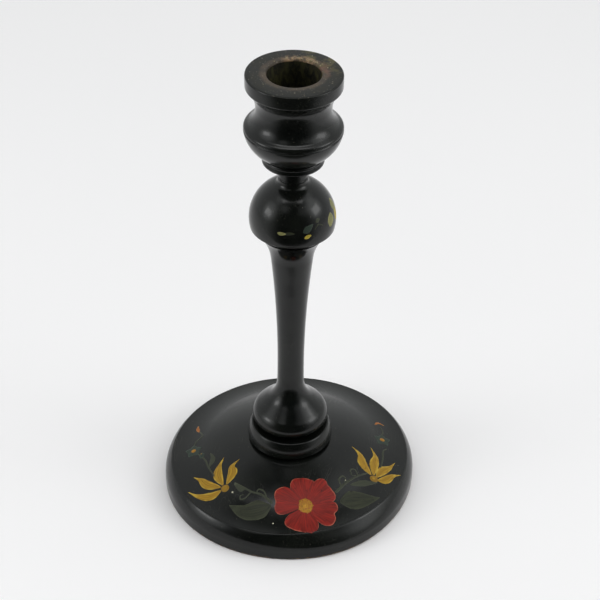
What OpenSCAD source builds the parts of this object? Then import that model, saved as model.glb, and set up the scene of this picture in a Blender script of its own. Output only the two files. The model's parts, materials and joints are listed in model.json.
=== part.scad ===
// Turned wooden candlestick: a round base, a foot ring, a waisted stem,
// a domed knop and a candle cup, glued one on another.
// Every outline is a half section: x is the radius and y is the height above the table.

/* [Base] */
// Diameter of the base
base_d = 114.8; // [112:0.2:118]
// Height of the crest that runs round the base's top edge
base_edge_h = 12; // [11:0.1:13]
// Height of the flat seat in the middle of the base
seat_h = 22.9; // [22.6:0.1:23.4]
// Diameter of the flat seat
seat_d = 38; // [37:0.2:40]

/* [Foot ring] */
// Largest diameter of the foot ring
ring_d = 38.4; // [37:0.1:39]
// Height of the foot ring, from the base's seat to the stem's seat
ring_h = 8.4; // [8.2:0.1:8.6]

/* [Stem] */
// Largest diameter of the bulb at the bottom of the stem
bulb_d = 34.1; // [33:0.1:35]
// Diameter of the stem at its waist
waist_d = 11.8; // [11:0.1:13]
// Height of the waist
waist_z = 66; // [63:0.5:68]
// Height of the stem's top shoulder
stem_top_z = 136.4; // [135:0.1:137]

/* [Knop] */
// Diameter of the domed knop
knop_d = 36.6; // [35:0.1:38]
// Height of the knop's widest level
knop_z = 144.3; // [143.8:0.1:145]

/* [Candle cup] */
// Diameter of the neck between the knop and the cup
neck_d = 12.4; // [11.6:0.1:13]
// Height of the glued joint in the neck
neck_joint_z = 164.5; // [164:0.1:165]
// Diameter of the cup at its crease
bowl_d = 40.7; // [40:0.1:41.4]
// Diameter of the cup's rim
rim_d = 39.4; // [38.6:0.1:40]
// Diameter of the candle hole
candle_d = 22; // [20:0.1:23]
// Depth of the candle hole
candle_depth = 24; // [16:0.5:25]
// Overall height
total_h = 212; // [211:0.1:213]

/* [Glued joints] */
// Diameter of the tenon under the stem
foot_tenon_d = 16; // [12:0.5:18]
// Diameter of the tenon on top of the stem
top_tenon_d = 12; // [9:0.5:13]
// Diameter of the loose dowel in the neck
dowel_d = 6; // [5:0.1:7]
// Glue gap left round each tenon and dowel
glue_gap = 0.1; // [0.05:0.01:0.15]

/* [Hidden] */
$fn = 96;

// Edge rounding that a turner leaves with abrasive paper
soft_edge = 0.8;
// Chamfer on the end of a tenon or dowel
end_chamfer = 0.8;
// Floor of the blind mortise in the base
mortise_floor_z = 8;
// Lower and upper end of the loose dowel
dowel_bottom_z = 152;
dowel_top_z = 179.5;
// Top of the mortise that takes the stem's upper tenon
knop_mortise_z = 150;

lacquer = "#23252a";
bare_wood = "#b08d5f";

// Points on an arc about [cx, cy]; angles are in degrees, anticlockwise from the x direction
function arc(cx, cy, radius, from, to, steps = 12) = [
    for (i = [0 : steps])
        let (a = from + (to - from) * i / steps)
            [cx + radius * cos(a), cy + radius * sin(a)]
];

// A solid of revolution from a list of outline pieces
module turned(pieces) {
    rotate_extrude() polygon([for (piece = pieces) for (point = piece) point]);
}

// Base ------------------------------------------------------------------

base_r = base_d / 2;
// Small rounding where the base's side meets the table
foot_edge_r = 0.6;
// The rounded side of the base, from its widest level up to the crest
edge_r = 10.4;
edge_z = 4.5;
edge_angle = asin((base_edge_h - edge_z) / edge_r);
crest_r = base_r - edge_r + edge_r * cos(edge_angle);
seat_r = seat_d / 2;
// The top falls gently from the seat, steepest half way out, and flattens towards the crest
steepest_r = 40;
slope_seat = 12;
slope_steep = 25;
slope_crest = 6;
hollow_r = (crest_r - steepest_r) / (sin(slope_steep) - sin(slope_crest));
hollow_x = crest_r + hollow_r * sin(slope_crest);
hollow_y = base_edge_h + hollow_r * cos(slope_crest);
steepest_z = hollow_y - hollow_r * cos(slope_steep);
// The edge of the seat is blended into the top over this much on each side
seat_blend = 0.4;
dome_start_r = seat_r + seat_blend;
dome_r = (steepest_r - dome_start_r) / (sin(slope_steep) - sin(slope_seat));
dome_x = steepest_r - dome_r * sin(slope_steep);
dome_y = steepest_z - dome_r * cos(slope_steep);

module base() {
    color(lacquer) turned([
        [[0, 0]],
        arc(base_r - foot_edge_r, foot_edge_r, foot_edge_r, -90, 0, 6),
        arc(base_r - edge_r, edge_z, edge_r, 0, edge_angle - 3, 12),
        [[crest_r - 0.1, base_edge_h + 0.02]],
        arc(hollow_x, hollow_y, hollow_r, 270 - slope_crest - 1, 270 - slope_steep, 12),
        arc(dome_x, dome_y, dome_r, 90 - slope_steep + 1, 90 - slope_seat, 13),
        [[seat_r - seat_blend, seat_h], [foot_tenon_d / 2, seat_h]],
        [[foot_tenon_d / 2, mortise_floor_z], [0, mortise_floor_z]]
    ]);
}

// Foot ring -------------------------------------------------------------

ring_r = ring_d / 2;
ring_top_z = seat_h + ring_h;
ring_neck_r = ring_r - 3;
ring_wide_z = seat_h + 3.2;
ring_curve_r = 11;
// The ring's top is dished a little inside a rounded crest
ring_crest_x = ring_r - 2.2;
// The stem stands on the flat part of the ring's top
bulb_seat_r = 12.8;

module foot_ring() {
    color(lacquer) turned([
        [[foot_tenon_d / 2, seat_h], [ring_neck_r, seat_h]],
        [[ring_neck_r, seat_h + 0.8], [ring_r - 1, seat_h + 1.2]],
        arc(ring_r - ring_curve_r, ring_wide_z, ring_curve_r, -8, 28, 14),
        arc(ring_crest_x, ring_top_z, soft_edge, 34, 98, 7),
        [[bulb_seat_r, ring_top_z], [foot_tenon_d / 2, ring_top_z]]
    ]);
}

// Stem ------------------------------------------------------------------

bulb_r = bulb_d / 2;
bulb_z = 37;
// Below its widest level the bulb turns in and runs down as a cone
bulb_turn_r = 2.6;
bulb_cone_angle = 40;
shoulder_r = 7.2;
waist_r = waist_d / 2;
// The long side of the stem is one shallow arc about the waist
side_r = 526;
cove_r = 14;
cove_z = 56.4;
cove_x = waist_r + side_r - sqrt(pow(side_r, 2) - pow(cove_z - waist_z, 2)) + cove_r;
trumpet_z = 124;
trumpet_r = 25;
trumpet_lean = asin((trumpet_z - waist_z) / side_r);
trumpet_x = waist_r + side_r - side_r * cos(trumpet_lean) + trumpet_r * cos(trumpet_lean);
trumpet_y = trumpet_z - trumpet_r * sin(trumpet_lean);
trumpet_end = 180 - asin((stem_top_z - trumpet_y) / trumpet_r);
foot_tenon_r = foot_tenon_d / 2 - glue_gap;
top_tenon_r = top_tenon_d / 2 - glue_gap;
foot_tenon_z = mortise_floor_z + 1;
top_tenon_z = knop_mortise_z - 1;

module stem() {
    color(lacquer) turned([
        [[0, foot_tenon_z], [foot_tenon_r - end_chamfer, foot_tenon_z]],
        [[foot_tenon_r, foot_tenon_z + end_chamfer], [foot_tenon_r, ring_top_z]],
        [[bulb_seat_r - 0.1, ring_top_z], [bulb_seat_r + 0.3, ring_top_z + 0.15]],
        arc(bulb_r - bulb_turn_r, bulb_z, bulb_turn_r, -bulb_cone_angle, 0, 10),
        arc(bulb_r - shoulder_r, bulb_z, shoulder_r, 4, 46, 12),
        arc(cove_x, cove_z, cove_r, 226, 181, 14),
        arc(waist_r + side_r, waist_z, side_r, 180 + asin((waist_z - cove_z) / side_r), 180 - trumpet_lean, 36),
        arc(trumpet_x, trumpet_y, trumpet_r, 180 - trumpet_lean - 2, trumpet_end, 14),
        [[top_tenon_r, stem_top_z], [top_tenon_r, top_tenon_z - end_chamfer]],
        [[top_tenon_r - end_chamfer, top_tenon_z], [0, top_tenon_z]]
    ]);
}

// Knop ------------------------------------------------------------------

knop_r = knop_d / 2;
neck_r = neck_d / 2;
// The dome sweeps into the neck through a small fillet that touches both
neck_fillet = 2.6;
fillet_x = neck_r + neck_fillet;
fillet_z = knop_z + sqrt(pow(knop_r + neck_fillet, 2) - pow(fillet_x, 2));
fillet_angle = acos(fillet_x / (knop_r + neck_fillet));
lip_r = 0.9;
lip_drop = 3.6;
lip_x = knop_r * cos(asin(lip_drop / knop_r)) - lip_r;
// Flat underside of the knop, inside its rounded lip
knop_flat_r = lip_x - 3.6;

module knop() {
    color(lacquer) turned([
        [[top_tenon_d / 2, stem_top_z], [knop_flat_r, stem_top_z]],
        arc(lip_x, knop_z - lip_drop, lip_r, -60, -15, 6),
        arc(0, knop_z, knop_r, -11, fillet_angle, 40),
        arc(fillet_x, fillet_z, neck_fillet, 180 + fillet_angle - 8, 180, 9),
        [[neck_r, neck_joint_z - 0.25], [neck_r - 0.2, neck_joint_z]],
        [[dowel_d / 2, neck_joint_z], [dowel_d / 2, knop_mortise_z], [top_tenon_d / 2, knop_mortise_z]]
    ]);
}

// Candle cup ------------------------------------------------------------

bowl_r = bowl_d / 2;
rim_r = rim_d / 2;
candle_r = candle_d / 2;
candle_floor_z = total_h - candle_depth;
// Collar under the bowl, cut as two reeds
collar_r = 12.85;
collar_z = 171.4;
collar_top_z = 175;
reed_r = 0.9;
reed_cut = 0.25;
under_fillet = 4;
// Rounded underside of the bowl
under_r = 15;
under_x = bowl_r - 14.85;
under_z = 188.8;
crease_z = 187.3;
crease_cut = 0.4;
// Shoulder above the crease, and the hollow under the rim
shoulder_turn = 1.65;
hollow_min_r = 15.5;
hollow_low_r = 9.05;
hollow_low_z = 196.5;
hollow_high_r = 13;
hollow_high_z = 197;
lean = 50;
// A fine scribed line is cut into the wall of the hollow
scribe_angle = 29;
scribe_cut = 0.25;
// The rim stands out as a plain band above the hollow
band_r = 1.2;
band_z = 207;

module candle_cup() {
    color(lacquer) turned([
        [[dowel_d / 2, neck_joint_z], [neck_r - 0.2, neck_joint_z], [neck_r, neck_joint_z + 0.25]],
        arc(neck_r + under_fillet, collar_z - under_fillet, under_fillet, 180, 95, 9),
        [[collar_r - 1, collar_z]],
        arc(collar_r - reed_r, collar_z + reed_r, reed_r, -70, 30, 8),
        [[collar_r - reed_cut, collar_z + 1.85]],
        arc(collar_r - 1.05, collar_z + 2.7, reed_r, -40, 60, 8),
        [[collar_r - 0.9, collar_top_z], [collar_r - 0.5, collar_top_z + 0.4]],
        arc(under_x, under_z, under_r, -59, -7.5, 26),
        [[bowl_r - crease_cut, crease_z]],
        arc(bowl_r - shoulder_turn, crease_z + 0.45, shoulder_turn, -8, lean, 10),
        arc(hollow_min_r + hollow_low_r, hollow_low_z, hollow_low_r, 180 + lean - 2, 180, 14),
        arc(hollow_min_r + hollow_high_r, hollow_high_z, hollow_high_r, 180, 180 - scribe_angle + 0.6, 10),
        [hollow_point(scribe_angle, scribe_cut)],
        arc(hollow_min_r + hollow_high_r, hollow_high_z, hollow_high_r, 180 - scribe_angle - 0.6, 180 - 39, 4),
        arc(rim_r - band_r, band_z, band_r, -36, 0, 6),
        arc(rim_r - soft_edge, total_h - soft_edge, soft_edge, 0, 90, 7),
        arc(candle_r + soft_edge, total_h - soft_edge, soft_edge, 90, 180, 7),
        [[candle_r, candle_floor_z], [0, candle_floor_z]],
        [[0, dowel_top_z + 0.5], [dowel_d / 2, dowel_top_z + 0.5]]
    ]);
}

// A point cut a little way into the wall of the upper hollow
function hollow_point(angle, depth) = [
    hollow_min_r + hollow_high_r - (hollow_high_r + depth) * cos(angle),
    hollow_high_z + (hollow_high_r + depth) * sin(angle)
];

// Neck dowel ------------------------------------------------------------

module neck_dowel() {
    pin_r = dowel_d / 2 - glue_gap;
    color(bare_wood) turned([
        [[0, dowel_bottom_z], [pin_r - end_chamfer, dowel_bottom_z]],
        [[pin_r, dowel_bottom_z + end_chamfer], [pin_r, dowel_top_z - end_chamfer]],
        [[pin_r - end_chamfer, dowel_top_z], [0, dowel_top_z]]
    ]);
}

base();
foot_ring();
stem();
knop();
candle_cup();
neck_dowel();
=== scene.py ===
"""Looks for the turned candlestick: smooth lacquered turnings, painted flowers, wear and the studio.

Units are metres in the CAD frame. Painted decoration is given in millimetres: in plan on the base,
and as (distance round, height) on the knop.
"""

import json
import math
import random

import bpy
import numpy as np
from mathutils import Matrix, Vector, noise


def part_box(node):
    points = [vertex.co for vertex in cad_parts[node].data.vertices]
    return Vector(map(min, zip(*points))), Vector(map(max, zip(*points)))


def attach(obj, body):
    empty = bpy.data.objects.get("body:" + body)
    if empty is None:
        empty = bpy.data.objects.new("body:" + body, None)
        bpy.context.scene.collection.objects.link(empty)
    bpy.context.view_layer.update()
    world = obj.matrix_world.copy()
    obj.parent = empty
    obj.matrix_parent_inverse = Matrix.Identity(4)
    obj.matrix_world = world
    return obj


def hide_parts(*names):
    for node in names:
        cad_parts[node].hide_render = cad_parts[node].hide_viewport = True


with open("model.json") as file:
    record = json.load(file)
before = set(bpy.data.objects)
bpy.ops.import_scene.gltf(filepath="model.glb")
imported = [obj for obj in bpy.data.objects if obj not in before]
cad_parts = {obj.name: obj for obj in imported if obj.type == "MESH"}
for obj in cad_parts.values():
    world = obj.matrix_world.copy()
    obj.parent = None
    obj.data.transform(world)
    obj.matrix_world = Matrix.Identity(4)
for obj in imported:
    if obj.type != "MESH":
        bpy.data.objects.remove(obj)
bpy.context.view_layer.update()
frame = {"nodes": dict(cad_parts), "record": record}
MM = 0.001
BODY = "root"
random.seed(7)


# ---------------------------------------------------------------- outlines

CORNER = math.radians(17)  # an outline that turns by more has an edge there
STRAIGHT = math.radians(0.8)  # and one that turns by less is flat there
BEVEL = 0.14 * MM  # how far an edge is softened
SUPPORT = 0.5 * MM  # from an edge's softening to the next point, which keeps the flat beside it flat
CLOSE = 0.001 * MM  # a point this near to the axis, or to another point's level, is on it
SEAM = 0.0001 * MM  # and one this near to the plane y = 0 is on the section
DIGITS = 7  # decimals of a metre that tell two outline points apart


def half_section(node):
    """The outline of a turned CAD node: (radius, height) points in order, and whether it closes."""
    mesh = frame["nodes"][node].data
    seam = {}
    for v in mesh.vertices:
        if abs(v.co.y) < SEAM and v.co.x > -SEAM:
            seam[v.index] = (round(v.co.x, DIGITS), round(v.co.z, DIGITS))
    links = {point: set() for point in seam.values()}
    for a, b in (e.vertices for e in mesh.edges):
        if a in seam and b in seam and seam[a] != seam[b]:
            links[seam[a]].add(seam[b])
            links[seam[b]].add(seam[a])
    # A flat face has no edge along the section, so its two circles are joined here
    loose = sorted(p for p in links if len(links[p]) == 1)
    for p in loose:
        level = [q for q in loose if q != p and abs(q[1] - p[1]) < CLOSE]
        if level:
            q = min(level, key=lambda other: abs(other[0] - p[0]))
            links[p].add(q)
            links[q].add(p)
    ends = [p for p in links if len(links[p]) == 1]
    path = [max(ends or links, key=lambda p: p[1])]
    while True:
        onward = [q for q in links[path[-1]] if q not in path]
        if not onward:
            break
        path.append(onward[0])
    if ends:
        path = [(0.0, path[0][1])] + path + [(0.0, path[-1][1])]
    return [Vector(p) for p in path], not ends


def curve_point(before, start, end, after, t):
    """A point of the smooth curve through start and end, at share t of the way between them."""
    return 0.5 * (
        2 * start
        + (end - before) * t
        + (2 * before - 5 * start + 4 * end - after) * t * t
        + (3 * start - before - 3 * end + after) * t * t * t
    )


def fine_outline(node, bevel=BEVEL, between=2):
    """The node's section with smooth stretches drawn as curves and each corner softened slightly."""
    points, closed = half_section(node)
    count = len(points)
    turns = []
    for i, here in enumerate(points):
        inward = here - points[i - 1]
        outward = points[(i + 1) % count] - here
        turns.append(abs(inward.angle(outward, 0)))
    if not closed:
        turns[0] = turns[-1] = math.pi
    outline = []
    for i, here in enumerate(points):
        onward = points[(i + 1) % count]
        if turns[i] < CORNER or here.x < CLOSE:
            outline.append(here)
        else:
            sides = []
            for side in (points[i - 1] - here, onward - here):
                unit = side.normalized()
                near = min(bevel, 0.25 * side.length)
                far = min(bevel + SUPPORT, 0.45 * side.length)
                sides.append((here + unit * far, here + unit * near))
            middle = (sides[0][1] + 2 * here + sides[1][1]) / 4
            outline += [sides[0][0], sides[0][1], middle, sides[1][1], sides[1][0]]
        last = i == count - 1
        if last and not closed:
            break
        j = (i + 1) % count
        curved = STRAIGHT < turns[i] < CORNER or STRAIGHT < turns[j] < CORNER
        if curved and here.x > CLOSE and onward.x > CLOSE:
            # Neighbours count by direction only, so a long flat beside a small curve adds no bulge
            reach = (onward - here).length
            back = here - points[i - 1] if turns[i] < CORNER else onward - here
            ahead = points[(i + 2) % count] - onward if turns[j] < CORNER else onward - here
            before = here - back.normalized() * reach
            after = onward + ahead.normalized() * reach
            for k in range(1, between + 1):
                outline.append(curve_point(before, here, onward, after, k / (between + 1)))
    return outline, closed


def smooth_step(low, high, value):
    """0 below low, 1 above high, and a smooth rise between them."""
    t = min(max((value - low) / (high - low), 0), 1)
    return t * t * (3 - 2 * t)


# ---------------------------------------------------------------- shape of the wood

# Directions are radians round the axis from the right (+X), and spreads are radians
SEAT_EDGE = 21 * MM  # the wood is round and flat inside this radius
OVAL_AXIS = 0.69
OVAL_LONG = 1.019
OVAL_SHORT = 0.981
LIFT = 0.3 * MM
LIFT_DIRECTION = -0.9
LIFT_SPREAD = 0.55
SWELL = 1.5 * MM
SWELL_DIRECTION = -1.08
SWELL_SPREAD = 0.5
SWELL_BOTTOM = 5 * MM  # the swelling is full below this height
SWELL_TOP = 11 * MM  # and gone above this one
BASE_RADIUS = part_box("base")[1].x
FULL_BEND = 0.8 * BASE_RADIUS


def bump_at(bearing, centre, spread):
    """1 at one bearing round the axis, falling smoothly to 0 on both sides of it."""
    turn = (bearing - centre + math.pi) % (2 * math.pi) - math.pi
    return math.exp(-((turn / spread) ** 2))


def shrunk(point):
    """A point of the base, dried a little oval; its right front edge lifts and swells outwards."""
    x, y, z = point
    radius = math.hypot(x, y)
    share = smooth_step(SEAT_EDGE, FULL_BEND, radius)
    cos_a, sin_a = math.cos(OVAL_AXIS), math.sin(OVAL_AXIS)
    along = (x * cos_a + y * sin_a) * (1 + (OVAL_LONG - 1) * share)
    across = (y * cos_a - x * sin_a) * (1 + (OVAL_SHORT - 1) * share)
    bearing = math.atan2(y, x)
    rise = LIFT * share * bump_at(bearing, LIFT_DIRECTION, LIFT_SPREAD)
    low = 1 - smooth_step(SWELL_BOTTOM, SWELL_TOP, z)
    swell = SWELL * share * low * bump_at(bearing, SWELL_DIRECTION, SWELL_SPREAD)
    return Vector((
        along * cos_a - across * sin_a + swell * math.cos(bearing),
        along * sin_a + across * cos_a + swell * math.sin(bearing),
        z + rise,
    ))


def unchanged(point):
    """The same point, for wood that has kept its shape."""
    return Vector(point)


# ---------------------------------------------------------------- mesh builders

def new_object(name, vertices, faces, materials):
    """A mesh object linked to the scene."""
    mesh = bpy.data.meshes.new(name)
    mesh.from_pydata(vertices, [], faces)
    for material in materials:
        mesh.materials.append(material)
    made = bpy.data.objects.new(name, mesh)
    bpy.context.scene.collection.objects.link(made)
    return made


def finish_mesh(name, vertices, faces, materials):
    """A smooth-shaded object that rides on the candlestick's body."""
    piece = new_object(name, vertices, faces, materials)
    piece.data.polygons.foreach_set("use_smooth", [True] * len(piece.data.polygons))
    piece.data.update()
    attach(piece, BODY)
    return piece


def lathe(name, node, steps, materials, zone=None, bend=unchanged, wear=None, bevel=BEVEL):
    """Turns a CAD node's section into a fine closed mesh that stands for the node."""
    outline, closed = fine_outline(node, bevel)
    rings = []
    vertices = []
    for point in outline:
        if point.x < CLOSE:
            rings.append([len(vertices)])
            vertices.append(Vector((0, 0, point.y)))
        else:
            rings.append(list(range(len(vertices), len(vertices) + steps)))
            for k in range(steps):
                turn = 2 * math.pi * k / steps
                x, y = point.x * math.cos(turn), point.x * math.sin(turn)
                vertices.append(Vector((x, y, point.y)))
    faces = []
    levels = []
    pairs = list(zip(range(len(rings) - 1), range(1, len(rings))))
    if closed:
        pairs.append((len(rings) - 1, 0))
    for a, b in pairs:
        first, second = rings[a], rings[b]
        middle = (outline[a] + outline[b]) / 2
        if len(first) == 1 and len(second) == 1:
            continue
        for k in range(steps):
            m = (k + 1) % steps
            if len(first) == 1:
                face = (first[0], second[k], second[m])
            elif len(second) == 1:
                face = (first[k], second[0], first[m])
            else:
                face = (first[k], second[k], second[m], first[m])
            faces.append(face)
            levels.append(middle)
    area = sum(p.x * q.y - q.x * p.y for p, q in zip(outline, outline[1:] + outline[:1]))
    if area > 0:
        faces = [tuple(reversed(face)) for face in faces]
    piece = finish_mesh(name, [bend(v) for v in vertices], faces, materials)
    if zone:
        piece.data.polygons.foreach_set("material_index", [zone(level) for level in levels])
    worn = piece.data.attributes.new("edge_wear", "FLOAT", "POINT")
    worn.data.foreach_set("value", [wear(v) if wear else 0.0 for v in vertices])
    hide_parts(node)


# ---------------------------------------------------------------- materials

class Graph:
    """A material's node graph, built one node at a time."""

    def __init__(self, name):
        self.material = bpy.data.materials.new(name)
        self.material.use_nodes = True
        self.tree = self.material.node_tree
        self.shader = self.tree.nodes["Principled BSDF"]

    def add(self, kind, out=0, **settings):
        """Adds a node and returns one of its outputs. A setting is an attribute, or an input as in_NAME."""
        made = self.tree.nodes.new("ShaderNode" + kind)
        for key, value in settings.items():
            if key.startswith("in_"):
                label = key[3:]
                self.put(made.inputs[int(label) if label.isdigit() else label.replace("_", " ")], value)
            else:
                setattr(made, key, value)
        return made.outputs[out]

    def put(self, socket, value):
        if isinstance(value, bpy.types.NodeSocket):
            self.tree.links.new(value, socket)
        else:
            socket.default_value = value

    def set(self, **values):
        """Sets the shader's sockets, with _ for a space."""
        for key, value in values.items():
            self.put(self.shader.inputs[key.replace("_", " ")], value)
        return self.material

    def object_space(self):
        return self.add("TexCoord", out=3)

    def uv(self):
        return self.add("TexCoord", out=2)

    def noise(self, where, scale, detail=3.0, rough=0.55, distort=0.0):
        return self.add("TexNoise", in_Vector=where, in_Scale=scale, in_Detail=detail,
                        in_Roughness=rough, in_Distortion=distort)

    def stretch(self, where, scale):
        return self.add("Mapping", in_Vector=where, in_Scale=scale)

    def ramp(self, value, low, high, to_low=0.0, to_high=1.0):
        return self.add("MapRange", in_Value=value, in_From_Min=low, in_From_Max=high,
                        in_To_Min=to_low, in_To_Max=to_high, interpolation_type="SMOOTHSTEP")

    def math(self, operation, a, b=0.5):
        return self.add("Math", operation=operation, in_0=a, in_1=b)

    def radius(self, x, y):
        """How far a place is from the axis."""
        squares = self.math("ADD", self.math("MULTIPLY", x, x), self.math("MULTIPLY", y, y))
        return self.math("SQRT", squares)

    def mix(self, share, a, b):
        made = self.tree.nodes.new("ShaderNodeMix")
        made.data_type = "RGBA"
        self.put(made.inputs["Factor"], share)
        colour_inputs = [s for s in made.inputs if s.type == "RGBA"]
        self.put(colour_inputs[0], a)
        self.put(colour_inputs[1], b)
        return [s for s in made.outputs if s.type == "RGBA"][0]

    def bump(self, height, strength, distance, normal=None):
        made = self.tree.nodes.new("ShaderNodeBump")
        made.inputs["Strength"].default_value = strength
        made.inputs["Distance"].default_value = distance
        self.put(made.inputs["Height"], height)
        if normal is not None:
            self.put(made.inputs["Normal"], normal)
        return made.outputs[0]


def rgb(r, g, b):
    """A colour given as it looks on screen, 0 to 255, as linear light."""
    def linear(c):
        c = c / 255
        return c / 12.92 if c <= 0.04045 else ((c + 0.055) / 1.055) ** 2.4
    return (linear(r), linear(g), linear(b), 1.0)


LACQUER_DARK = rgb(11, 13, 12)
LACQUER_LIGHT = rgb(20, 22, 19)
UNDERCOAT = rgb(92, 70, 48)
GLOSS = 0.17
RIM_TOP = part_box("candle_cup")[1].z
HOLE = next(m for m in frame["record"]["mounts"] if m["kind"] == "bore")
HOLE_RADIUS = HOLE["dims"]["r_mm"] * MM
HOLE_FLOOR = HOLE["pos_m"][2] - HOLE["dims"]["length_mm"] * MM / 2 - MM  # and a millimetre over


def turned_coords(g):
    """Coordinates across the turning marks, which don't change round the axis, and the radius."""
    x, y, z = g.add("SeparateXYZ", in_0=g.object_space()).node.outputs
    radius = g.radius(x, y)
    return g.add("CombineXYZ", in_0=radius, in_2=z), radius


def scratches(g, where, tilt, density):
    """A few hairline marks, as a 0 to 1 mask."""
    turned = g.add("Mapping", in_Vector=where, in_Rotation=tilt,
                   in_Scale=(density, density * 0.06, density))
    lines = g.noise(turned, 1.0, detail=1.0)
    gap = g.math("ABSOLUTE", g.math("SUBTRACT", lines, 0.5))
    thin = g.ramp(gap, 0.0, 0.006, 1.0, 0.0)
    patches = g.ramp(g.noise(where, 45.0), 0.52, 0.62)
    return g.math("MULTIPLY", thin, patches)


def lacquer(name, seed):
    """Old black lacquer on turned wood: satin gloss, fine turning marks, handling marks, worn edges."""
    g = Graph(name)
    where = g.add("Mapping", in_Vector=g.object_space(), in_Location=(seed, 2 * seed, 3 * seed))
    across, _ = turned_coords(g)
    mottle = g.noise(where, 55.0, detail=5.0)
    fine = g.noise(where, 900.0, detail=4.0)
    base = g.mix(g.ramp(mottle, 0.35, 0.7), LACQUER_DARK, LACQUER_LIGHT)
    hair = g.math("MAXIMUM", scratches(g, where, (0.3, 0.5, 0.4), 260.0),
                  scratches(g, where, (1.2, 0.2, 1.9), 330.0))
    base = g.mix(g.math("MULTIPLY", hair, 0.3), base, rgb(70, 70, 62))
    dust = g.ramp(g.noise(where, 1400.0, detail=1.0), 0.74, 0.8)
    base = g.mix(g.math("MULTIPLY", dust, 0.35), base, rgb(120, 116, 104))
    worn = g.add("Attribute", out=2, attribute_name="edge_wear")
    wear = g.math("ADD", g.math("MULTIPLY", worn, 0.5), g.noise(where, 380.0, detail=6.0))
    bare = g.ramp(wear, 0.88, 0.98)
    base = g.mix(bare, base, UNDERCOAT)
    rough = g.ramp(g.noise(where, 130.0, detail=4.0), 0.3, 0.75, GLOSS - 0.04, GLOSS + 0.06)
    rough = g.math("ADD", rough, g.math("MULTIPLY", hair, 0.15))
    rough = g.math("ADD", rough, g.math("MULTIPLY", bare, 0.25))
    rings = g.noise(across, 700.0, detail=3.0)
    normal = g.bump(rings, 0.10, 0.00006)
    normal = g.bump(fine, 0.10, 0.00003, normal)
    normal = g.bump(g.noise(where, 140.0, detail=2.0), 0.16, 0.00025, normal)
    normal = g.bump(g.math("ADD", bare, hair), 0.25, -0.00004, normal)
    return g.set(Base_Color=base, Roughness=rough, Normal=normal, Specular_IOR_Level=0.31)


def facing(g, where, azimuth, low, high):
    """A mask over the side that faces an azimuth in plan, in degrees from the right (+X)."""
    x, y, _ = g.add("SeparateXYZ", in_0=where).node.outputs
    a = math.radians(azimuth)
    along = g.math("ADD", g.math("MULTIPLY", x, math.cos(a)), g.math("MULTIPLY", y, math.sin(a)))
    return g.ramp(g.math("DIVIDE", along, g.radius(x, y)), low, high)


def worn_rim():
    """The top of the rim: dulled lacquer, a brown ring round the hole, and rubbed and waxy marks."""
    g = Graph("worn_rim")
    where = g.object_space()
    across, radius = turned_coords(g)

    def inside(start, end):
        """A mask that fades out between two distances from the hole's wall, in millimetres."""
        return g.ramp(radius, HOLE_RADIUS + start * MM, HOLE_RADIUS + end * MM, 1.0, 0.0)

    blotch = g.noise(where, 160.0, detail=6.0, rough=0.6)
    grime = g.noise(where, 620.0, detail=5.0)
    base = g.mix(g.ramp(blotch, 0.35, 0.65), rgb(22, 23, 20), rgb(38, 37, 31))
    edge = g.math("SUBTRACT", 1.0, inside(5.5, 8.5))
    base = g.mix(g.math("MULTIPLY", edge, 0.75), base, LACQUER_LIGHT)
    ring = g.math("MULTIPLY", inside(1.8, 3.6), g.ramp(blotch, 0.36, 0.6, 0.35, 0.85))
    base = g.mix(ring, base, rgb(80, 68, 56))
    olive_patch = g.ramp(g.noise(where, 240.0, detail=4.0), 0.45, 0.62)
    olive = g.math("MULTIPLY", facing(g, where, 40, 0.6, 0.98), olive_patch)
    base = g.mix(g.math("MULTIPLY", olive, 0.75), base, rgb(84, 78, 46))
    back = g.math("MULTIPLY", inside(1.4, 4.2), facing(g, where, 78, 0.72, 0.97))
    right = g.math("MULTIPLY", inside(2.0, 5.0), facing(g, where, 14, 0.86, 0.99))
    rubbed_patch = g.ramp(g.noise(where, 420.0, detail=6.0, rough=0.7), 0.42, 0.56)
    rubbed = g.math("MULTIPLY", back, rubbed_patch)
    base = g.mix(rubbed, base, rgb(142, 116, 88))
    red_brown = g.math("MULTIPLY", right, g.ramp(g.noise(where, 300.0, detail=5.0), 0.36, 0.55))
    base = g.mix(g.math("MULTIPLY", red_brown, 0.85), base, rgb(98, 70, 58))
    base = g.mix(g.ramp(grime, 0.6, 0.72, 0.0, 0.6), base, rgb(24, 24, 21))
    specks = g.ramp(g.noise(where, 1500.0, detail=1.0), 0.68, 0.74, 0.0, 0.7)
    base = g.mix(specks, base, rgb(150, 144, 126))
    normal = g.bump(g.noise(across, 1300.0, detail=2.0), 0.2, 0.00006)
    normal = g.bump(blotch, 0.35, 0.00012, normal)
    normal = g.bump(g.math("ADD", rubbed, grime), 0.3, 0.0001, normal)
    rough = g.ramp(blotch, 0.3, 0.7, 0.34, 0.5)
    return g.set(Base_Color=base, Roughness=rough, Normal=normal, Specular_IOR_Level=0.22)


def stained_wood(name, dark, light, ring_scale=520.0, grain_scale=(260.0, 260.0, 26.0)):
    """Turned wood: rings from the tool, open grain and darker patches."""
    g = Graph(name)
    where = g.object_space()
    across, _ = turned_coords(g)
    grain = g.noise(g.stretch(where, grain_scale), 1.0, detail=6.0, rough=0.65, distort=0.4)
    rings = g.noise(across, ring_scale, detail=3.0)
    patch = g.noise(where, 120.0, detail=4.0)
    base = g.mix(g.ramp(grain, 0.35, 0.68), dark, light)
    base = g.mix(g.ramp(patch, 0.48, 0.7, 0.0, 0.75), base, dark)
    normal = g.bump(rings, 0.4, 0.0001)
    normal = g.bump(grain, 0.35, 0.0001, normal)
    return g.set(Base_Color=base, Roughness=g.ramp(patch, 0.3, 0.7, 0.62, 0.8), Normal=normal,
                 Specular_IOR_Level=0.25)


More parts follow.
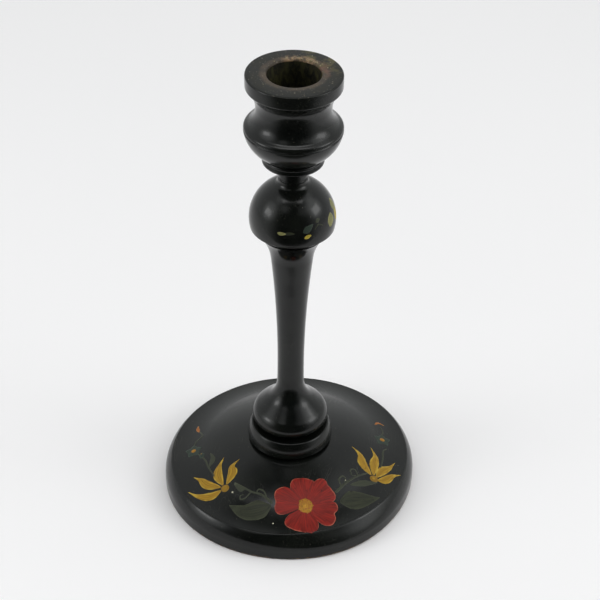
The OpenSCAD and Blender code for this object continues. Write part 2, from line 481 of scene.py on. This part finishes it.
def paint(name, deep, mid, edge, streak=34.0, edge_start=0.72, thin=0.0):
    """Hand-brushed enamel: streaks along the stroke, a lighter lip, and thin places that show black."""
    g = Graph(name)
    where = g.object_space()
    along = g.stretch(g.uv(), (1.6, streak, 1.0))
    reach, side, _ = g.add("SeparateXYZ", in_0=g.uv()).node.outputs
    offset = g.add("VectorMath", operation="ADD", in_0=along, in_1=g.stretch(where, (35.0, 35.0, 35.0)))
    streaks = g.noise(offset, 1.0, detail=4.0, rough=0.6)
    blotch = g.noise(where, 260.0, detail=4.0)
    base = g.mix(g.ramp(streaks, 0.34, 0.68), deep, mid)
    base = g.mix(g.ramp(blotch, 0.5, 0.75, 0.0, 0.4), base, deep)
    off_middle = g.math("ABSOLUTE", g.math("SUBTRACT", g.math("MULTIPLY", side, 2.0), 1.0))
    rim = g.math("MAXIMUM", off_middle, reach)
    lip = g.math("MULTIPLY", g.ramp(rim, edge_start, 0.97), g.ramp(g.noise(where, 320.0), 0.36, 0.6))
    base = g.mix(g.math("MULTIPLY", lip, 0.75), base, edge)
    gone = g.ramp(g.noise(where, 420.0, detail=5.0), 0.66 - thin, 0.74 - thin, 0.0, 0.8)
    base = g.mix(gone, base, LACQUER_DARK)
    normal = g.bump(streaks, 0.45, 0.0001)
    normal = g.bump(blotch, 0.25, 0.0001, normal)
    rough = g.ramp(streaks, 0.3, 0.7, 0.34, 0.5)
    return g.set(Base_Color=base, Roughness=rough, Normal=normal, Specular_IOR_Level=0.22)


# ---------------------------------------------------------------- turned pieces

BLACK = {node: lacquer("lacquer_" + node, 0.37 * i) for i, node in enumerate(
    ("base", "foot_ring", "stem", "knop", "candle_cup"))}
RAW_WOOD = stained_wood("raw_wood", rgb(96, 70, 44), rgb(172, 136, 92))
# The candle hole's wall is coloured near black, darker than the lacquer, with greenish-brown streaks.
BORE_WOOD = stained_wood("bore_wood", rgb(13, 12, 9), rgb(58, 56, 30), 900.0, (420.0, 420.0, 190.0))
UNDERSIDE_WOOD = stained_wood("underside_wood", rgb(28, 25, 21), rgb(84, 68, 50), 420.0)
RIM_WEAR = worn_rim()

RIM_BAND = 0.9 * MM  # wear at the hole's mouth: down the wall, and out across the flat
RIM_SKIN = 0.35 * MM  # wear on the flat: down the rim's outer edge
HOLE_MARGIN = 0.1 * MM
CREST_BEVEL = 0.6 * MM  # the base's crest is softer than the other edges
UNDER_BASE = 0.3 * MM  # the underside reaches up to this height
MORTISE_RADIUS = 8.1 * MM  # and everything inside this radius is in the mortise
WORN_RADIUS = 57.2 * MM  # the foot's lower edge, where the lacquer is rubbed
WORN_HEIGHT = 0.3 * MM
WORN_SPREAD = 1.0 * MM


def cup_zone(level):
    """0 lacquer, 1 the worn top of the rim, 2 the wood of the candle hole."""
    radius, height = level
    if radius < HOLE_RADIUS + HOLE_MARGIN and HOLE_FLOOR < height < RIM_TOP - RIM_BAND:
        return 2
    mouth = radius < HOLE_RADIUS + RIM_BAND and height > RIM_TOP - RIM_BAND
    return 1 if mouth or height > RIM_TOP - RIM_SKIN else 0


def base_zone(level):
    """0 lacquer, 1 the turned underside and the mortise."""
    radius, height = level
    return 1 if radius < MORTISE_RADIUS or height < UNDER_BASE else 0


def foot_wear(point):
    """How worn the base's lacquer is: 1 on the foot's lower edge, and less away from it."""
    away = math.hypot(math.hypot(point.x, point.y) - WORN_RADIUS, point.z - WORN_HEIGHT)
    return math.exp(-((away / WORN_SPREAD) ** 2))


lathe("turned_base", "base", 288, [BLACK["base"], UNDERSIDE_WOOD], base_zone, shrunk, foot_wear,
      CREST_BEVEL)
lathe("turned_foot_ring", "foot_ring", 192, [BLACK["foot_ring"]])
lathe("turned_stem", "stem", 160, [BLACK["stem"]])
lathe("turned_knop", "knop", 192, [BLACK["knop"]])
lathe("turned_candle_cup", "candle_cup", 192, [BLACK["candle_cup"], RIM_WEAR, BORE_WOOD], cup_zone)
lathe("loose_dowel", "neck_dowel", 64, [RAW_WOOD])


# ---------------------------------------------------------------- painted decoration

BY_RADIUS, BY_HEIGHT = 0, 1


def surface_of(node, inner, low, sort_by, bevel=BEVEL):
    """Radii and heights of a section's points outside a radius and above a height, in rising order."""
    outline, _ = fine_outline(node, bevel)
    kept = np.array([tuple(p) for p in outline if p.x > inner and p.y > low])
    return kept[np.argsort(kept[:, sort_by])].T


top_r, top_z = surface_of("base", 19 * MM, 11 * MM, BY_RADIUS, CREST_BEVEL)
dome_r, dome_z = surface_of("knop", 7 * MM, 138 * MM, BY_HEIGHT)
UNBEND_ROUNDS = 3  # rounds that find where a place was before the wood bent
KNOP_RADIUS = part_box("knop")[1].x


def on_base(x, y, lift):
    """A point of the base's top at a place in plan (mm), raised by lift (mm)."""
    seen = Vector((x, y)) * MM
    source = seen.copy()
    for _ in range(UNBEND_ROUNDS):
        source += seen - shrunk((*source, SWELL_TOP)).xy
    return shrunk((*source, float(np.interp(source.length, top_r, top_z)) + lift * MM))


def on_knop(x, y, lift):
    """A point of the knop, x round from its front and y up (mm), raised by lift (mm)."""
    radius = float(np.interp(y * MM, dome_z, dome_r)) + lift * MM
    turn = x * MM / KNOP_RADIUS - math.pi / 2
    return Vector((radius * math.cos(turn), radius * math.sin(turn), y * MM))


# Paint heights and widths are in millimetres
FILM = 0.07
EDGE_SINK = -0.02
BRUSH_RELIEF = 0.03
FINEST_STROKE = 0.03
MOSTLY_UP = 0.06  # a height in metres that makes a direction outwards from the base point mostly up


def brush_map(piece, place):
    """Gives each vertex its place along and across the brush stroke."""
    layer = piece.data.uv_layers.new(name="brush")
    for loop in piece.data.loops:
        layer.data[loop.index].uv = place(loop.vertex_index)


def film(name, material, grid, drape, crown=0.05):
    """A thin raised sheet of paint from a grid of places; its border dips just into the lacquer."""
    rows, columns = len(grid), len(grid[0])
    reach = [i / (rows - 1) for i in range(rows)]
    side = [j / (columns - 1) for j in range(columns)]
    vertices = []
    for i, row in enumerate(grid):
        for j, (x, y) in enumerate(row):
            rim = min(i, j, rows - 1 - i, columns - 1 - j)
            if rim == 0:
                lift = EDGE_SINK
            else:
                bow = 1 - (2 * j / (columns - 1) - 1) ** 2
                brush = noise.noise(Vector((side[j] * 14, reach[i] * 1.5, x))) * BRUSH_RELIEF
                lift = FILM + crown * bow * min(1, rim / 2) + brush
            vertices.append(drape(x, y, lift))
    faces = []
    for i in range(rows - 1):
        for j in range(columns - 1):
            a = i * columns + j
            faces.append((a, a + 1, a + columns + 1, a + columns))
    here, beside, _, ahead = (vertices[i] for i in faces[len(faces) // 2])
    outward = Vector((here.x, here.y, MOSTLY_UP if drape is on_base else 0))
    if (beside - here).cross(ahead - here).dot(outward) < 0:
        faces = [tuple(reversed(face)) for face in faces]
    piece = finish_mesh(name, vertices, faces, [material])
    brush_map(piece, lambda vertex: (reach[vertex // columns], side[vertex % columns]))


def eased(points, steps):
    """Points along the smooth curve through a short list of points."""
    vectors = [Vector(p) for p in points]
    padded = [2 * vectors[0] - vectors[1]] + vectors + [2 * vectors[-1] - vectors[-2]]
    spans = len(vectors) - 1
    result = []
    for k in range(steps + 1):
        place = k / steps * spans
        i = min(int(place), spans - 1)
        result.append(curve_point(*padded[i:i + 4], place - i))
    return result


RAGGED = 0.06  # how much a stroke's width wavers


def stroke(name, material, path, widths, drape=on_base, steps=28, across=8, crown=0.05):
    """One brush stroke: a path, and its half widths from where the brush lands to where it leaves."""
    line = eased(path, steps)
    spread = eased([(w, 0) for w in widths], steps)
    grid = []
    for k, here in enumerate(line):
        ahead = line[min(k + 1, steps)] - line[max(k - 1, 0)]
        left = Vector((-ahead.y, ahead.x)).normalized()
        half = max(spread[k].x, FINEST_STROKE)
        row = []
        for j in range(across + 1):
            v = 2 * j / across - 1
            wobble = 1 + RAGGED * noise.noise(Vector((here.x * 0.9, here.y * 0.9, 3 * v)))
            row.append(tuple(here + left * half * v * wobble))
        grid.append(row)
    film(name, material, grid, drape, crown)


def petal(name, material, centre, direction, spread, length, notch=0.05, inner=1.2, steps=18, across=30):
    """A broad petal: it fans out from the boss to a rounded edge with a shallow notch."""
    grid = []
    phase = direction * 0.13
    for i in range(steps + 1):
        share = i / steps
        row = []
        for j in range(across + 1):
            v = 2 * j / across - 1
            turn = math.radians(direction + spread * v)
            shape = max(1 - abs(v) ** 4, 0) ** 0.4
            dip = notch * math.exp(-((v - 0.12) / 0.16) ** 2)
            ripple = 1 + 0.035 * math.sin(5.2 * v + phase) - dip
            uneven = 1 + 0.02 * noise.noise(Vector((4 * v, phase, 0)))
            outer = inner + (length * ripple - inner) * shape * uneven
            radius = inner + (outer - inner) * share
            row.append((centre[0] + radius * math.cos(turn), centre[1] + radius * math.sin(turn)))
        grid.append(row)
    film(name, material, grid, on_base, crown=0.06)


def dab(name, material, centre, radius, drape=on_base, height=0.2, squash=1.0, turn=0.0, rings=5,
        sides=22):
    """A round dab of thick paint."""
    vertices = [drape(centre[0], centre[1], height)]
    for i in range(1, rings + 1):
        share = i / rings
        lift = EDGE_SINK if i == rings else height * math.sqrt(1 - share ** 2)
        for k in range(sides):
            angle = 2 * math.pi * k / sides
            place = Vector((math.cos(angle) * 1.7, math.sin(angle) * 1.7, centre[0]))
            reach = radius * share * (1 + 0.09 * noise.noise(place))
            across, along = reach * math.cos(angle), squash * reach * math.sin(angle)
            x = centre[0] + across * math.cos(turn) - along * math.sin(turn)
            y = centre[1] + across * math.sin(turn) + along * math.cos(turn)
            vertices.append(drape(x, y, lift))
    faces = [(0, 1 + k, 1 + (k + 1) % sides) for k in range(sides)]
    for i in range(rings - 1):
        for k in range(sides):
            a, b = 1 + i * sides + k, 1 + i * sides + (k + 1) % sides
            faces.append((a, a + sides, b + sides, b))
    piece = finish_mesh(name, vertices, faces, [material])
    # Vertex 0 is the middle, and each ring holds the next sides vertices
    brush_map(piece, lambda vertex: (0.6 * ((vertex - 1) // sides + 1) / rings, 0.5))


RED = paint("red_enamel", rgb(98, 22, 16), rgb(148, 34, 24), rgb(192, 104, 80), edge_start=0.955)
OCHRE = paint("ochre_enamel", rgb(122, 90, 20), rgb(178, 138, 36), rgb(208, 176, 66), streak=18.0,
              edge_start=0.5)
GOLD = paint("gold_enamel", rgb(150, 98, 20), rgb(190, 142, 46), rgb(200, 162, 76))
OLIVE = paint("olive_enamel", rgb(36, 39, 29), rgb(53, 56, 40), rgb(62, 66, 48), streak=14.0, thin=0.04)
VINE = paint("vine_enamel", rgb(44, 48, 37), rgb(64, 67, 51), rgb(74, 77, 60), thin=0.03)
DARK_LEAF = paint("dark_leaf_enamel", rgb(36, 46, 39), rgb(54, 65, 55), rgb(66, 77, 66), thin=0.04)
ORANGE = paint("orange_enamel", rgb(136, 76, 30), rgb(176, 110, 52), rgb(190, 146, 98))
LEMON = paint("lemon_enamel", rgb(140, 122, 40), rgb(186, 168, 64), rgb(206, 192, 104))
CREAM = paint("cream_enamel", rgb(176, 172, 140), rgb(214, 210, 190), rgb(230, 228, 214))
PALE_GREEN = paint("pale_green_enamel", rgb(98, 100, 60), rgb(140, 136, 84), rgb(160, 156, 112))

# Large red flower at the front of the base: each petal's direction and half spread in degrees, and length
RED_CENTRE = (7.7, -39.8)
RED_PETALS = ((100, 40, 13.2), (44, 34, 15.4), (-14, 40, 14.6), (-100, 54, 13.4), (168, 40, 14.6))
STAMENS = 24
STAMEN_TURN = 2.4  # radians from one stamen to the next, which spreads them evenly
STAMEN_COLOURS = (GOLD, OCHRE, ORANGE)
for k, (direction, spread, length) in enumerate(RED_PETALS):
    petal(f"red_petal_{k + 1}", RED, RED_CENTRE, direction, spread, length)
dab("red_flower_boss", GOLD, RED_CENTRE, 3.7, height=0.28)
for k in range(STAMENS):
    angle = k * STAMEN_TURN
    reach = 0.45 + 0.6 * math.sqrt(k)
    spot = (RED_CENTRE[0] + reach * math.cos(angle), RED_CENTRE[1] + reach * math.sin(angle))
    dab(f"red_flower_stamen_{k + 1}", STAMEN_COLOURS[k % 3], spot, random.uniform(0.34, 0.5),
        height=0.42, rings=3, sides=12)

# Two yellow flowers with pointed petals: the middle, then each petal from its root to its tip
PETAL_WIDTHS = (0.3, 1.8, 2.2, 1.5, 0.6, 0.05)
YELLOW = {
    "left": ((-28.7, -29.3), (
        ((-29.7, -27.6), (-32.2, -22.0), (-31.8, -17.4), (-29.8, -12.4)),
        ((-28.0, -27.6), (-25.6, -22.2), (-25.8, -18.6), (-22.6, -15.2)),
        ((-30.6, -28.4), (-36.6, -26.0), (-40.0, -22.4), (-43.4, -20.0)),
        ((-30.4, -30.0), (-35.4, -32.4), (-40.8, -31.4), (-45.6, -28.4)))),
    "right": ((38.6, -20.2), (
        ((37.4, -18.4), (33.6, -13.6), (32.4, -8.8), (28.6, -4.8)),
        ((38.5, -18.2), (38.8, -12.0), (39.6, -7.0), (37.4, -1.8)),
        ((39.8, -18.9), (42.6, -14.4), (46.0, -11.4), (48.8, -7.4)),
        ((40.2, -20.6), (44.0, -19.4), (47.4, -16.2), (51.2, -15.0)))),
}
for side, (boss, petals) in YELLOW.items():
    for k, path in enumerate(petals):
        stroke(f"yellow_petal_{side}_{k + 1}", OCHRE, path, PETAL_WIDTHS)
    dab(f"yellow_boss_{side}", OCHRE, boss, 1.9, height=0.3, squash=0.95)

# Olive leaves beside the red flower
stroke("leaf_left", OLIVE, ((-7.6, -40.0), (-13.0, -41.6), (-19.6, -42.0), (-26.6, -38.0)),
       (0.4, 4.2, 4.6, 3.0, 0.1))
stroke("leaf_right", OLIVE, ((22.8, -36.0), (28.6, -34.2), (34.4, -32.6), (41.2, -30.4)),
       (0.4, 4.4, 4.6, 2.8, 0.1))

# Vines between the flowers, with curls and small leaves: the path, then the half widths along it
VINE_WIDTHS = (0.7, 0.5, 0.4)
CURL_WIDTHS = (0.35, 0.4, 0.15)
SPRIG_WIDTHS = (0.35, 0.45, 0.3)
SPRIG_LEAF_WIDTHS = (0.2, 1.3, 0.9, 0.1)
VINES = {
    "left_main": (
        ((-7.0, -39.0), (-11.9, -34.9), (-16.4, -33.1), (-20.6, -30.2), (-24.6, -27.4)), VINE_WIDTHS),
    "left_curl_1": (
        ((-9.6, -36.6), (-11.0, -33.4), (-13.2, -32.2), (-14.2, -33.4), (-12.8, -34.4)), CURL_WIDTHS),
    "left_curl_2": (
        ((-17.0, -33.2), (-19.4, -35.6), (-21.4, -35.8), (-21.6, -34.2), (-20.0, -33.8)), CURL_WIDTHS),
    "left_leaf": (((-19.4, -31.6), (-22.0, -30.6), (-24.8, -27.8)), (0.2, 1.5, 0.9, 0.1)),
    "right_main": (((21.0, -32.0), (25.7, -26.3), (31.0, -21.2), (35.9, -17.9)), VINE_WIDTHS),
    "right_curl_1": (
        ((23.6, -28.6), (22.6, -25.0), (24.4, -23.2), (25.8, -24.6), (24.8, -26.0)), CURL_WIDTHS),
    "right_curl_2": (
        ((31.4, -21.0), (29.8, -18.2), (27.8, -19.0), (28.6, -21.6), (30.4, -21.0)), CURL_WIDTHS),
    "right_leaf": (((27.6, -26.6), (34.9, -23.6), (40.4, -21.8)), (0.3, 1.6, 1.2, 0.1)),
    "sprig_left": (((-33.6, -22.4), (-36.8, -16.0), (-38.7, -10.9), (-42.6, -5.4)), SPRIG_WIDTHS),
    "sprig_left_leaf": (((-36.4, -16.2), (-35.0, -11.6), (-36.4, -7.6)), SPRIG_LEAF_WIDTHS),
    "sprig_left_top": (((-44.6, -1.4), (-43.6, 3.0), (-40.8, 6.4), (-42.6, 10.4)), (0.3, 0.45, 0.25)),
    "sprig_right": (((41.8, -13.0), (43.0, -7.0), (43.4, -1.6), (45.2, 0.8)), SPRIG_WIDTHS),
    "sprig_right_top": (((42.6, 8.6), (43.6, 12.4), (42.4, 16.2)), (0.3, 0.4, 0.2)),
}
for name, (path, widths) in VINES.items():
    stroke("vine_" + name, VINE, path, widths, across=4)

# Small flowers at the ends of the sprigs: dark petals round an orange centre, then a bud
SMALL = {"left": (-44.4, -3.2), "right": (43.2, 6.2)}
SMALL_PETALS = 5
SMALL_REACH = 4.0
for side, (x, y) in SMALL.items():
    for k in range(SMALL_PETALS):
        angle = 2 * math.pi * k / SMALL_PETALS + math.radians(20)
        step = SMALL_REACH / 2 * Vector((math.cos(angle), math.sin(angle)))
        path = [(x + i * step.x, y + i * step.y) for i in range(3)]
        stroke(f"small_petal_{side}_{k + 1}", DARK_LEAF, path, (0.5, 1.8, 1.4, 0.1), steps=12, across=6)
    dab(f"small_centre_{side}", GOLD, (x, y), 1.25, height=0.26)
stroke("bud_left", ORANGE, ((-42.6, 9.8), (-43.4, 12.4), (-43.2, 15.0)), (0.3, 0.8, 0.6, 0.1),
       steps=12)
stroke("bud_right", ORANGE, ((40.0, 16.8), (41.6, 18.8), (44.6, 17.6)), (0.2, 0.7, 0.5, 0.1),
       steps=12)
dab("bud_left_low", DARK_LEAF, (-40.3, -7.6), 1.3, squash=1.4)
dab("bud_left_low_tip", OCHRE, (-40.6, -6.6), 0.45)

# Stray specks of pale paint: the place and the radius
SPECKS = (((-25.2, -31.9), 0.42), ((-6.6, -48.3), 0.34), ((25.5, -25.0), 0.3))
for k, (spot, size) in enumerate(SPECKS):
    dab(f"speck_{k + 1}", CREAM, spot, size, height=0.16, rings=3, sides=12)

# Spray on the front and the right front of the knop: places are (round from the front, height)
KNOP_SPRAY = (
    ("knop_leaf_1", PALE_GREEN, ((25.6, 149.6), (26.4, 152.0), (27.0, 154.6)), (0.6, 2.5, 2.2, 0.3)),
    ("knop_leaf_2", LEMON, ((25.2, 145.4), (26.6, 148.2), (28.0, 150.6)), (0.5, 2.0, 1.8, 0.3)),
    ("knop_leaf_3", PALE_GREEN, ((19.2, 145.4), (20.2, 148.4), (21.0, 151.2)), (0.6, 2.5, 2.3, 0.3)),
    ("knop_leaf_4", VINE, ((11.0, 150.6), (12.2, 151.4), (13.6, 151.8)), (0.3, 0.9, 0.7, 0.1)),
    ("knop_leaf_5", DARK_LEAF, ((4.6, 147.8), (7.0, 149.0), (9.6, 150.6)), (0.3, 1.6, 1.2, 0.1)),
    ("knop_vine", OLIVE, ((9.8, 148.0), (11.2, 149.2), (12.4, 149.6), (14.6, 148.4)), (0.2, 0.35, 0.2)),
    ("knop_bud_yellow", LEMON, ((5.2, 145.1), (6.7, 145.6), (8.2, 146.1)), (0.3, 0.9, 0.8, 0.2)),
    ("knop_bud_olive", PALE_GREEN, ((-6.2, 147.4), (-4.6, 147.2), (-2.4, 147.4)), (0.3, 0.8, 0.7, 0.2)),
    ("knop_bud_tail", OLIVE, ((-2.8, 147.4), (-0.6, 147.6), (1.2, 147.6)), (0.5, 0.7, 0.5, 0.1)),
)
for name, material, path, widths in KNOP_SPRAY:
    stroke(name, material, path, widths, drape=on_knop, steps=14, across=6, crown=0.03)


def on_rim(x, y, lift):
    """A point of the rim's flat top at a place in plan (mm), raised by lift (mm)."""
    return Vector((x * MM, y * MM, RIM_TOP + lift * MM))


# Crumbs of old wax and dirt round the back and right of the candle hole
WAX = paint("old_wax", rgb(116, 106, 80), rgb(156, 144, 114), rgb(184, 176, 150), thin=0.02)
CRUMBS = 34
CRUMB_DIRECTION, CRUMB_SPREAD = 68, 26  # degrees from the right (+X)
CRUMB_START, CRUMB_DEPTH = 0.95, 0.8  # millimetres from the hole's wall
for k in range(CRUMBS):
    turn = math.radians(random.gauss(CRUMB_DIRECTION, CRUMB_SPREAD))
    reach = HOLE_RADIUS / MM + CRUMB_START + abs(random.gauss(0, CRUMB_DEPTH))
    spot = (reach * math.cos(turn), reach * math.sin(turn))
    size = random.uniform(0.14, 0.42)
    dab(f"wax_crumb_{k + 1}", WAX, spot, size, drape=on_rim, height=size * 0.8,
        squash=random.uniform(0.6, 1.5), turn=turn, rings=3, sides=9)

# Stray specks on the rim's front: the place and the radius
RIM_SPECKS = (((-11.9, -9.4), 0.26), ((-14.2, -2.6), 0.2), ((2.5, -14.6), 0.22), ((4.2, -17.6), 0.2))
for k, (spot, size) in enumerate(RIM_SPECKS):
    dab(f"rim_speck_{k + 1}", WAX, spot, size, drape=on_rim, height=0.12, rings=3, sides=12)


# ---------------------------------------------------------------- floor, lights and camera

def paper_material():
    """Plain white paper with a faint fibre."""
    g = Graph("studio_paper")
    fibre = g.noise(g.object_space(), 600.0, detail=4.0)
    shade = g.noise(g.object_space(), 1.5, detail=1.0)
    base = g.mix(g.ramp(shade, 0.3, 0.7), rgb(253, 251, 252), rgb(255, 253, 254))
    return g.set(Base_Color=base, Roughness=0.9, Normal=g.bump(fibre, 0.05, 0.0001),
                 Specular_IOR_Level=0.1)


PAPER = paper_material()
FLOOR_HALF_WIDTH = 4.0
FLOOR_BREAK = -0.12  # where the front floor meets the back floor


def floor_sheet(name, y_from, y_to, cells=24):
    """A flat strip of the studio floor between two distances from the candlestick."""
    vertices = []
    faces = []
    for j in range(cells + 1):
        for i in range(cells + 1):
            x = FLOOR_HALF_WIDTH * (2 * i / cells - 1)
            vertices.append((x, y_from + (y_to - y_from) * j / cells, 0))
    for j in range(cells):
        for i in range(cells):
            a = j * (cells + 1) + i
            faces.append((a, a + 1, a + cells + 2, a + cells + 1))
    sheet = new_object(name, vertices, faces, [PAPER])
    return sheet


floor_sheet("floor_back", FLOOR_BREAK, FLOOR_HALF_WIDTH)
front_floor = floor_sheet("floor_front", -FLOOR_HALF_WIDTH, FLOOR_BREAK)
# The lacquer mirrors a dark room on the near side, so the near floor is left out of reflections
front_floor.visible_glossy = False

AIM = Vector((0, 0, 0.1))
LIGHT_DISTANCE = 1.0


def aim_vector(azimuth, elevation):
    """The direction of an azimuth, in degrees from the far side (+Y) to the right (+X), and an elevation."""
    a, e = math.radians(azimuth), math.radians(elevation)
    return Vector((math.sin(a) * math.cos(e), math.cos(a) * math.cos(e), math.sin(e)))


def soft_light(name, azimuth, elevation, width, height, radiance):
    """A rectangular soft light; its place and its size are angles in degrees, seen from the piece."""
    data = bpy.data.lights.new(name, "AREA")
    data.shape = "RECTANGLE"
    data.size = 2 * LIGHT_DISTANCE * math.tan(math.radians(width / 2))
    data.size_y = 2 * LIGHT_DISTANCE * math.tan(math.radians(height / 2))
    data.energy = radiance * math.pi * data.size * data.size_y
    light = bpy.data.objects.new(name, data)
    offset = aim_vector(azimuth, elevation) * LIGHT_DISTANCE
    light.location = AIM + offset
    light.rotation_euler = offset.to_track_quat("Z", "Y").to_euler()
    light.visible_camera = False
    bpy.context.scene.collection.objects.link(light)


soft_light("side_left", -106, 22, 18, 14, 3.6)
soft_light("side_right", 102, 28, 22, 18, 2.6)
soft_light("overhead", 180, 79, 46, 16, 2.6)

ROOM_LIGHT = (0.78, 0.80, 0.797, 1.0)
BACKDROP = rgb(241, 241, 241)
FLOOR_TONE = 0.79  # the far floor's brightness as a share of the backdrop's

# Soft pools of light in the surroundings: azimuth, elevation, inner and outer half angle, brightness
GLOWS = (
    (-107, 23, 4, 26, 1.5),
    (102, 31, 8, 28, 1.6),
    (-100, 64, 3, 16, 0.9),
    (80, 60, 6, 20, 0.9),
    (-150, 48, 2, 13, 0.9),
    (140, 42, 3, 18, 0.5),
    (180, 84, 6, 20, 0.8),
)


def studio_world():
    """Pale surroundings for the camera; for light and reflections, bright behind and dark in front."""
    world = bpy.data.worlds.new("studio")
    world.use_nodes = True
    bpy.context.scene.world = world
    tree = world.node_tree
    nodes, links = tree.nodes, tree.links

    def rise(socket, low, high, start, end):
        made = nodes.new("ShaderNodeMapRange")
        made.interpolation_type = "SMOOTHSTEP"
        links.new(socket, made.inputs["Value"])
        for label, value in (("From Min", low), ("From Max", high), ("To Min", start), ("To Max", end)):
            made.inputs[label].default_value = value
        return made.outputs[0]

    def combine(operation, a, b):
        made = nodes.new("ShaderNodeMath")
        made.operation = operation
        links.new(a, made.inputs[0])
        links.new(b, made.inputs[1])
        return made.outputs[0]

    def vector(operation, a, b, out=0):
        made = nodes.new("ShaderNodeVectorMath")
        made.operation = operation
        links.new(a, made.inputs[0])
        made.inputs[1].default_value = b
        return made.outputs[out]

    where = nodes.new("ShaderNodeTexCoord").outputs["Generated"]
    height = vector("DOT_PRODUCT", where, (0, 0, 1), "Value")
    flat = vector("NORMALIZE", vector("MULTIPLY", where, (1, 1, 0)), (0, 0, 0))
    away = vector("DOT_PRODUCT", flat, (0, 1, 0), "Value")
    light = combine("MULTIPLY", rise(away, -0.9, -0.3, 0.0, 1.0), rise(height, 0.8, 0.96, 1.0, 0.12))
    for azimuth, elevation, inner, outer, brightness in GLOWS:
        near = vector("DOT_PRODUCT", where, aim_vector(azimuth, elevation), "Value")
        glow = rise(near, math.cos(math.radians(outer)), math.cos(math.radians(inner)), 0.0, brightness)
        light = combine("ADD", light, glow)
    unseen = nodes.new("ShaderNodeBackground")
    unseen.inputs["Color"].default_value = ROOM_LIGHT
    links.new(light, unseen.inputs["Strength"])
    seen = nodes.new("ShaderNodeBackground")
    seen.inputs["Color"].default_value = BACKDROP
    # A low view sees past the floor, so the surroundings start at the floor's own tone
    links.new(rise(height, 0.0, 0.25, FLOOR_TONE, 1.0), seen.inputs["Strength"])
    path = nodes.new("ShaderNodeLightPath")
    choose = nodes.new("ShaderNodeMixShader")
    links.new(path.outputs["Is Camera Ray"], choose.inputs[0])
    links.new(unseen.outputs[0], choose.inputs[1])
    links.new(seen.outputs[0], choose.inputs[2])
    links.new(choose.outputs[0], nodes["World Output"].inputs["Surface"])


studio_world()

CAMERA_PLACE = Vector((0.0037, -0.5759, 0.5344))
CAMERA_PITCH = math.radians(90 - 37.0)
CAMERA_ROLL = math.radians(0.915)
CAMERA_LENS = 99.84
SENSOR_WIDTH = 36.0
NEAREST_SEEN = 0.01

camera_data = bpy.data.cameras.new("camera")
camera_data.lens = CAMERA_LENS
camera_data.sensor_width = SENSOR_WIDTH
camera_data.clip_start = NEAREST_SEEN
camera = bpy.data.objects.new("camera", camera_data)
camera.matrix_world = (
    Matrix.Translation(CAMERA_PLACE)
    @ Matrix.Rotation(CAMERA_PITCH, 4, "X")
    @ Matrix.Rotation(CAMERA_ROLL, 4, "Z")
)
bpy.context.scene.collection.objects.link(camera)
bpy.context.scene.camera = camera
bpy.context.scene.view_settings.view_transform = "Standard"
